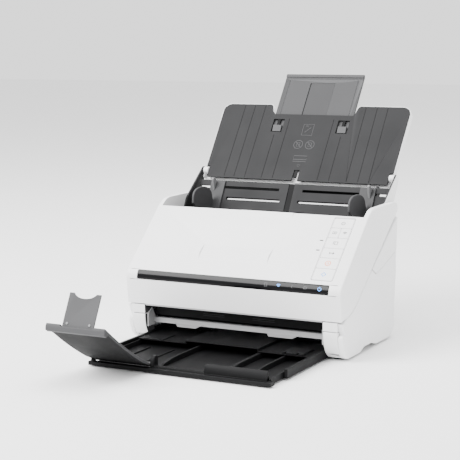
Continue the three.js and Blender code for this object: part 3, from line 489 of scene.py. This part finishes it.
def build_grip():
    """Low finger ridge on the cover's top edge."""
    profile = ((12, -0.6), (8, 0.15), (4, 0.7), (0.4, 0.9), (0.1, 0.5), (0.1, -0.6))
    grip = [on_slope(SLOPE_LENGTH - back, out) for back, out in profile]
    ridge = shaded(prism("cover_grip", grip, -25, 48, LOOKS["body_white"], edge=0.5, segments=3), 60)
    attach(ridge, "front_cover")


def build_cover_lip():
    """Grey turned-in lip along the cover's lower edge."""
    lip = [(-83.9, 50.6), (-83.9, 48.8), (-83.3, 48.2), (-80.6, 48.2), (-80.6, 50.6)]
    strip = shaded(prism("cover_lip", lip, -121.5, 121.5, LOOKS["part_light_grey"]))
    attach(strip, "front_cover")


# ---- flat symbols --------------------------------------------------------------------------------------
def stroke(bm, points, width, height, closed=False):
    """A thin raised line along points (x, s) on a flat plane."""
    count = len(points)
    rails = []
    for i, (x, s) in enumerate(points):
        before = Vector(points[i - 1]) if i or closed else Vector((x, s))
        after = Vector(points[(i + 1) % count]) if i < count - 1 or closed else Vector((x, s))
        along = (after - before).normalized()
        out = Vector((-along.y, along.x)) * width / 2
        corners = [(x + out.x, s + out.y), (x - out.x, s - out.y)]
        rails.append([bm.verts.new(place(cx, cs, z)) for cx, cs in corners for z in (-0.05, height)])
    last = count if closed else count - 1
    for i in range(last):
        a, b = rails[i], rails[(i + 1) % count]
        for p, q in ((0, 1), (1, 3), (3, 2), (2, 0)):
            bm.faces.new((a[p], a[q], b[q], b[p]))
    if not closed:
        for end in (rails[0], rails[-1]):
            bm.faces.new((end[0], end[1], end[3], end[2]))


def arc(x, s, radius, start, end, steps=16):
    return [(x + radius * math.cos(math.radians(start + (end - start) * k / steps)),
             s + radius * math.sin(math.radians(start + (end - start) * k / steps))) for k in range(steps + 1)]


def ring(x, s, radius):
    return arc(x, s, radius, 0, 360, 24)[:-1]


def symbol(name, strokes, material, body, angle, y, z, width=0.45, height=0.06):
    bm = bmesh.new()
    for points, closed in strokes:
        stroke(bm, points, width, height, closed)
    piece = turned(to_object(name, bm, material), angle, y, z)
    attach(piece, body)
    return piece


def rectangle(x, s, half_x, half_s):
    return [(x + across * half_x, s + up * half_s) for across, up in ((-1, -1), (1, -1), (1, 1), (-1, 1))]


def waves(base, *radii):
    """Arcs over one another, as on a wireless symbol."""
    return [(arc(0, base, radius, 45, 135, 8), False) for radius in radii]


def power_sign():
    return [(arc(0, 0, 2.2, 125, 415, 20), False), ([(0, 0.4), (0, 2.8)], False)]


def key_middle(node):
    low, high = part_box(node)
    middle = (low + high) / 2
    y0, z0 = on_slope(0)
    along = (middle.y / MM - SHIFT_Y - y0) * math.cos(SLOPE) + (middle.z / MM - z0) * math.sin(SLOPE)
    return middle.x / MM, along


def build_key_symbols():
    def on_key(node, strokes, material, width=0.75):
        x, s = key_middle(node)
        moved = [([(x + px, s + ps) for px, ps in points], closed) for points, closed in strokes]
        symbol(node + "_symbol", moved, material, BODY_OF[node], SLOPE, *on_slope(0), width=width)

    on_key("scan_button", [([(-2.9, 0), (0, -2.9), (2.9, 0), (0, 2.9)], True)], ICON_BLUE, 1.2)
    on_key("stop_button", [(ring(0, 0, 3.4), True), ([(-1.5, -1.1), (1.5, -1.1), (0, 1.6)], True)],
           ICON_ORANGE, 0.9)
    on_key("feed_mode_button", [([(-3, 0), (3, 0)], False), ([(1, 1.6), (3, 0), (1, -1.6)], False),
                                ([(-3, -1.8), (-3, 1.8)], False)], ICON_GREY)
    on_key("sheet_mode_button", [(rectangle(0.6, 0, 1.8, 2.2), True),
                                 ([(-3, -2), (-3, 2.2), (-1.6, 2.2)], False)], ICON_GREY)
    on_key("link_button", [(rectangle(0, 0, 2.6, 1.4), True), ([(-1, 0), (1, 0)], False)], ICON_GREY)
    on_key("wireless_button", waves(-1.6, 1.2, 2.4, 3.6), ICON_GREY)
    on_key("power_button", power_sign(), ICON_GREY)


def build_cover_marks():
    """Two small lamps beside the key column, and the column's thin printed outline."""
    for index, s in enumerate((65, 50)):
        symbol(f"mode_lamp_{index + 1}", [([(96.7, s), (101.3, s)], False)], ICON_GREY, "front_cover",
               SLOPE, *on_slope(0), width=1.6, height=0.05)
    field = [(104.3 + px, 4.9 + ps) for px, ps in rounded([(0, 0), (28.4, 0), (28.4, 97.2), (0, 97.2)], 3, 3)]
    symbol("key_field_line", [(field, True)], ICON_GREY, "front_cover", SLOPE, *on_slope(0),
           width=0.35, height=0.04)


LIGHT_MIDDLE = math.radians(157)


def build_bar_symbols():
    """Symbols under the light bar's window: wireless and power are lit."""
    y, z = on_round(LIGHT_MIDDLE, ROUND_R - 0.05)
    tilt = LIGHT_MIDDLE - math.pi / 2

    def on_bar(name, x, strokes, material):
        moved = [([(x + px, ps) for px, ps in points], closed) for points, closed in strokes]
        symbol(name, moved, material, "front_cover", tilt, y, z, width=0.5, height=0.05)

    on_bar("lamp_paper", 49, [(rectangle(0, 0, 1.6, 2.0), True)], LIGHT_DIM)
    inner_wave = (arc(0, -1.8, 1.1, 45, 135, 6), False)
    on_bar("lamp_wireless", 66, [inner_wave, *waves(-1.8, 2.3, 3.5)], LIGHT_BLUE)
    on_bar("lamp_alert", 83.5, [([(0, -1.4), (0, 2.2)], False)], LIGHT_DIM)
    on_bar("lamp_link", 101, [(rectangle(0, 0, 2.0, 1.2), True)], LIGHT_DIM)
    on_bar("lamp_power", 119.6, power_sign(), LIGHT_BLUE)


# ---- sides -----------------------------------------------------------------------------------------------
def build_sides():
    white = LOOKS["body_white"]
    below_seam = [(y + 0.5, z - 0.8) for y, z in SEAM[2:6]]
    lower = rounded(SIDE_BOTTOM[::-1] + SIDE_FRONT[::-1], 14, 5)
    outline = SIDE_TOP_FRONT + below_seam + [(20.6, 90.6), (86.2, 110), (86.2, 86)] + lower
    pocket_outline = [(-60, 12), (60, 12), (78, 28), (78, 100), (20, 84), (-36, 52), (-60, 44)]
    side = prism("side_cover_right_shape", outline, WING_INNER, HALF_WIDTH, white, edge=2.0,
                 ends=("high",), segments=5)
    combined(side, prism("pocket", pocket_outline, 140, 145.4, white), "DIFFERENCE")
    other = mirrored(side, "side_cover_left_shape")
    dressed(with_edges(side, 0.3, angle=55.0), "side_cover_right")
    dressed(with_edges(other, 0.3, angle=55.0), "side_cover_left")
    insert = prism("side_insert_right_shape", rounded(INSERT, 2, 1.2), WING_INNER, HALF_WIDTH - 0.1, white,
                   edge=0.9, ends=("high",))
    other = mirrored(insert, "side_insert_left_shape")
    dressed(shaded(insert), "side_insert_right")
    dressed(shaded(other), "side_insert_left")


# ---- trays -----------------------------------------------------------------------------------------------
def build_tray_symbols():
    """Embossed paper symbols on the input tray, drawn lighter than the tray as a painted highlight."""
    def on_tray(name, strokes, width=0.7):
        symbol(name, strokes, RELIEF_HIGHLIGHT_GREY, "input_tray", TRAY_ANGLE, TRAY_Y, TRAY_Z, width=width, height=0.2)

    for name, x in (("left", -9), ("right", 8)):
        bar_across = [(x - 4.4, 35.4), (x + 4.4, 26.6)]
        on_tray(f"tray_ban_symbol_{name}", [(ring(x, 31, 6.3), True), (bar_across, False),
                                            (rectangle(x, 31, 2.2, 3), True)])
    on_tray("tray_sheet_symbol", [(rectangle(-1, 54, 7.5, 8.5), True), ([(-5, 50), (3, 58)], False),
                                  ([(-5, 60), (-1, 60)], False)])
    on_tray("tray_feed_symbol", [(rectangle(-0.6, 10.8, 9.5, 2.8), True), ([(-10, 5), (9, 5)], False)])
    on_tray("tray_arrow_symbol", [([(-2.6, -0.4), (2.6, -0.4), (0, -3)], True)])
    latch = bar("tray_latch", -2.2, 2.2, -20, -9.5, -0.6, 0.7, DARK_PLASTIC_AND_SHADE)
    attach(turned(latch, TRAY_ANGLE, TRAY_Y, TRAY_Z), "input_tray")


def build_nose_outlines():
    """Two shallow guide windows moulded in the black nose over the exit, outlined in a lighter grey as a
    painted highlight.
    """
    for name, x in (("left", -34.5), ("right", 34.5)):
        symbol(f"nose_outline_{name}", [(rectangle(x, 39, 14.9, 1.1), True)], RELIEF_HIGHLIGHT_GREY, "front_cover",
               math.pi / 2, -64, 0, width=0.3, height=0.05)


def build_stopper_studs():
    """Two small round feet at the base of the folding tip."""
    for name, x in (("left", -91.5), ("right", -61.5)):
        bm = bmesh.new()
        bmesh.ops.create_cone(bm, cap_ends=True, segments=20, radius1=1.7 * MM, radius2=1.4 * MM,
                              depth=1.0 * MM)
        bm.transform(Matrix.Translation(place(x, 3.6, 1.2)))
        stud = turned(to_object(f"stopper_stud_{name}", bm, FIN_LIGHT), TIP_ANGLE, TIP_Y, TIP_Z)
        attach(stud, "stopper_tip")


def tone_parts(pieces):
    """Second colours on single mouldings. The inner faces of the hinge blocks and feet, the hopper groove, the
    clip recesses and the stopper's underside take painted shade; the tray arms, clip wedges, clip hooks and
    guide ramps take a second tone.
    """
    dark = LOOKS["tray_dark_grey"]
    for side, sign in (("right", 1), ("left", -1)):
        for node in (f"hinge_block_{side}", f"front_foot_{side}"):
            # The inner faces take the mid grey as painted shade.
            two_tone(pieces[node], LOOKS["part_mid_grey"], lambda middle, normal: normal.x * sign < -0.6)
        two_tone(pieces[f"tray_arm_{side}"], dark, lambda middle, normal: normal.x * sign < 0.8)
        two_tone(pieces[f"edge_guide_{side}"], FIN_LIGHT, on_guide_ramp)
    two_tone(pieces["input_tray_panel"], LOOKS["part_mid_grey"], on_clip_wedge)
    # Clip hooks, and their recesses painted dark as shade.
    two_tone(pieces["input_tray_panel"], DARK_PLASTIC_AND_SHADE, clip_hook_and_recess_shade)
    # Painted shade in the hopper plate's groove.
    two_tone(pieces["hopper_plate"], DARK_PLASTIC_AND_SHADE, painted_groove_shade)
    # Painted shade on the stopper's downward faces.
    two_tone(pieces["stopper"], DARK_PLASTIC_AND_SHADE, painted_stopper_shade)


# Faces inside the hopper plate's centre groove, which take painted shade.
def painted_groove_shade(middle, normal):
    _, out = in_frame(middle, HOPPER_ANGLE, HOPPER_Y, HOPPER_Z)
    return abs(middle.x / MM) < 4.05 and -1.3 < out < -0.3


def build_slot_backing():
    """White moulding seen through the hopper plate's two lower slots."""
    for name, x0, x1 in (("left", -91, -14), ("right", 14, 91)):
        strip = bar(f"slot_backing_{name}", x0, x1, -1.3, 1.2, -3.4, -2.7, LOOKS["body_white"])
        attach(turned(strip, HOPPER_ANGLE, HOPPER_Y, HOPPER_Z), "base")


def on_guide_ramp(middle, normal):
    along, out = in_frame(middle, HOPPER_ANGLE, HOPPER_Y, HOPPER_Z)
    return 110.8 < abs(middle.x / MM) < 114.2 and 7 < along < 24.5 and 2.4 < out < 12.5


def on_clip_wedge(middle, normal):
    along, out = in_frame(middle, TRAY_ANGLE, TRAY_Y, TRAY_Z)
    return 41.4 < abs(middle.x / MM) < 53.8 and 50.6 < along < 61.2 and -0.4 < out < 1.6


# Faces below the tray's face at each clip: the hook, and the recess, which is painted dark as shade.
def clip_hook_and_recess_shade(middle, normal):
    along, out = in_frame(middle, TRAY_ANGLE, TRAY_Y, TRAY_Z)
    return 39.4 < abs(middle.x / MM) < 55.8 and 61.2 < along < 72.2 and out < -0.4


# Downward-facing faces of the stopper, which take painted shade.
def painted_stopper_shade(middle, normal):
    along, _ = in_frame(middle, STOPPER_ANGLE, STOPPER_Y, STOPPER_Z)
    down = normal.z * math.cos(STOPPER_ANGLE) - normal.y * math.sin(STOPPER_ANGLE)
    return down > 0.3 and along < 104


SOFT_EDGES = {
    "rear_cover": 0.6, "front_foot_right": 1.0, "front_foot_left": 1.0, "hinge_block_right": 0.6,
    "hinge_block_left": 0.6, "tray_arm_right": 0.5, "tray_arm_left": 0.5, "input_tray_shell": 0.6,
    "input_tray_panel": 0.2, "input_tray_extension": 0.35, "hopper_plate": 0.25,
    "edge_guide_right": 0.25, "edge_guide_left": 0.25, "exit_ledge": 0.3, "output_tray": 0.4,
    "output_tray_extension": 0.4, "tray_rail_right": 0.25, "tray_rail_left": 0.25, "stopper": 0.5,
    "stopper_extension": 0.3, "upper_guide": 0.2, "lower_guide": 0.2, "lower_scan_module": 0.3,
    "upper_scan_module": 0.3, "base_chassis": 0.2, "exit_roller": 0.4, "feed_roller": 0.4, "pickup_roller": 0.4,
    "separation_roller": 0.3, "pinch_roller": 0.3, "drive_motor": 0.5, "power_inlet": 0.3, "usb_port": 0.25,
    "foot_pad_front_right": 0.4, "foot_pad_front_left": 0.4, "foot_pad_rear_right": 0.4,
    "foot_pad_rear_left": 0.4, "rear_screw_right": 0.3, "rear_screw_left": 0.3,
    "scan_button": 0.25, "stop_button": 0.25, "feed_mode_button": 0.25, "sheet_mode_button": 0.25,
    "link_button": 0.25, "wireless_button": 0.25, "power_button": 0.25,
}


def dress_remaining():
    """Nodes with fine or plain shapes keep their CAD mesh and take a material."""
    for node, thing in NODES.items():
        if not thing.data.materials:
            thing.data.materials.append(LOOKS[SLOT_OF[node]])
        for index in range(len(thing.data.materials)):
            thing.data.materials[index] = LOOKS[SLOT_OF[node]]


# ---- studio ------------------------------------------------------------------------------------------------
FLOOR_REACH = 6.0
WORLD_STRENGTH = 1.7


def build_stage():
    bm = bmesh.new()
    corners = rectangle(0, 0, FLOOR_REACH, FLOOR_REACH)
    bm.faces.new([bm.verts.new((x, y, 0.0)) for x, y in corners])
    material, tree, shader = node_material("studio_floor")
    shader.inputs["Base Color"].default_value = (0.9, 0.9, 0.9, 1.0)
    tree.links.new(ranged(tree, noise(tree, 2.0), 0.85, 0.95), shader.inputs["Roughness"])
    to_object("studio_floor", bm, material)
    world = bpy.data.worlds.new("studio")
    world.use_nodes = True
    world.node_tree.nodes["Background"].inputs["Color"].default_value = (1.0, 1.0, 1.0, 1.0)
    world.node_tree.nodes["Background"].inputs["Strength"].default_value = WORLD_STRENGTH
    bpy.context.scene.world = world


def area_light(name, location, target, size, power):
    data = bpy.data.lights.new(name, "AREA")
    data.shape = "RECTANGLE"
    data.size, data.size_y = size
    data.energy = power
    lamp = bpy.data.objects.new(name, data)
    bpy.context.scene.collection.objects.link(lamp)
    lamp.location = location
    lamp.rotation_euler = (Vector(target) - Vector(location)).to_track_quat("-Z", "Y").to_euler()


def build_lights():
    area_light("key", (-1.1, -1.3, 1.7), (0, 0, 0.1), (1.4, 1.4), 120)
    area_light("fill", (1.7, -0.7, 1.0), (0, 0, 0.1), (1.2, 1.2), 4)
    area_light("top", (0.1, 0.4, 2.0), (0, 0, 0.1), (1.6, 1.6), 50)


CAMERA_PLACE = Vector((0.8057, -1.5274, 0.4111))
CAMERA_AZIMUTH, CAMERA_ELEVATION, CAMERA_ROLL = 28.28, 8.69, -0.76
SENSOR_WIDTH, LENS = 36.0, 111.47


def build_camera():
    azimuth, elevation, roll = (math.radians(a) for a in (CAMERA_AZIMUTH, CAMERA_ELEVATION, CAMERA_ROLL))
    back = Vector((math.sin(azimuth) * math.cos(elevation), -math.cos(azimuth) * math.cos(elevation),
                   math.sin(elevation)))
    right = Vector((math.cos(azimuth), math.sin(azimuth), 0))
    up = back.cross(right)
    camera_x = right * math.cos(roll) + up * math.sin(roll)
    camera_y = up * math.cos(roll) - right * math.sin(roll)
    data = bpy.data.cameras.new("camera")
    data.sensor_width = SENSOR_WIDTH
    data.lens = LENS
    camera = bpy.data.objects.new("camera", data)
    bpy.context.scene.collection.objects.link(camera)
    turn = Matrix((camera_x, camera_y, back)).transposed().to_4x4()
    camera.matrix_world = Matrix.Translation(CAMERA_PLACE) @ turn
    bpy.context.scene.camera = camera


dress_remaining()
build_cover()
build_grip()
build_cover_lip()
build_light_bar()
build_sides()
tone_parts({node: softened(node, width) for node, width in SOFT_EDGES.items()})
build_nose_outlines()
build_stopper_studs()
build_slot_backing()
build_key_symbols()
build_cover_marks()
build_bar_symbols()
build_tray_symbols()
build_stage()
build_lights()
build_camera()
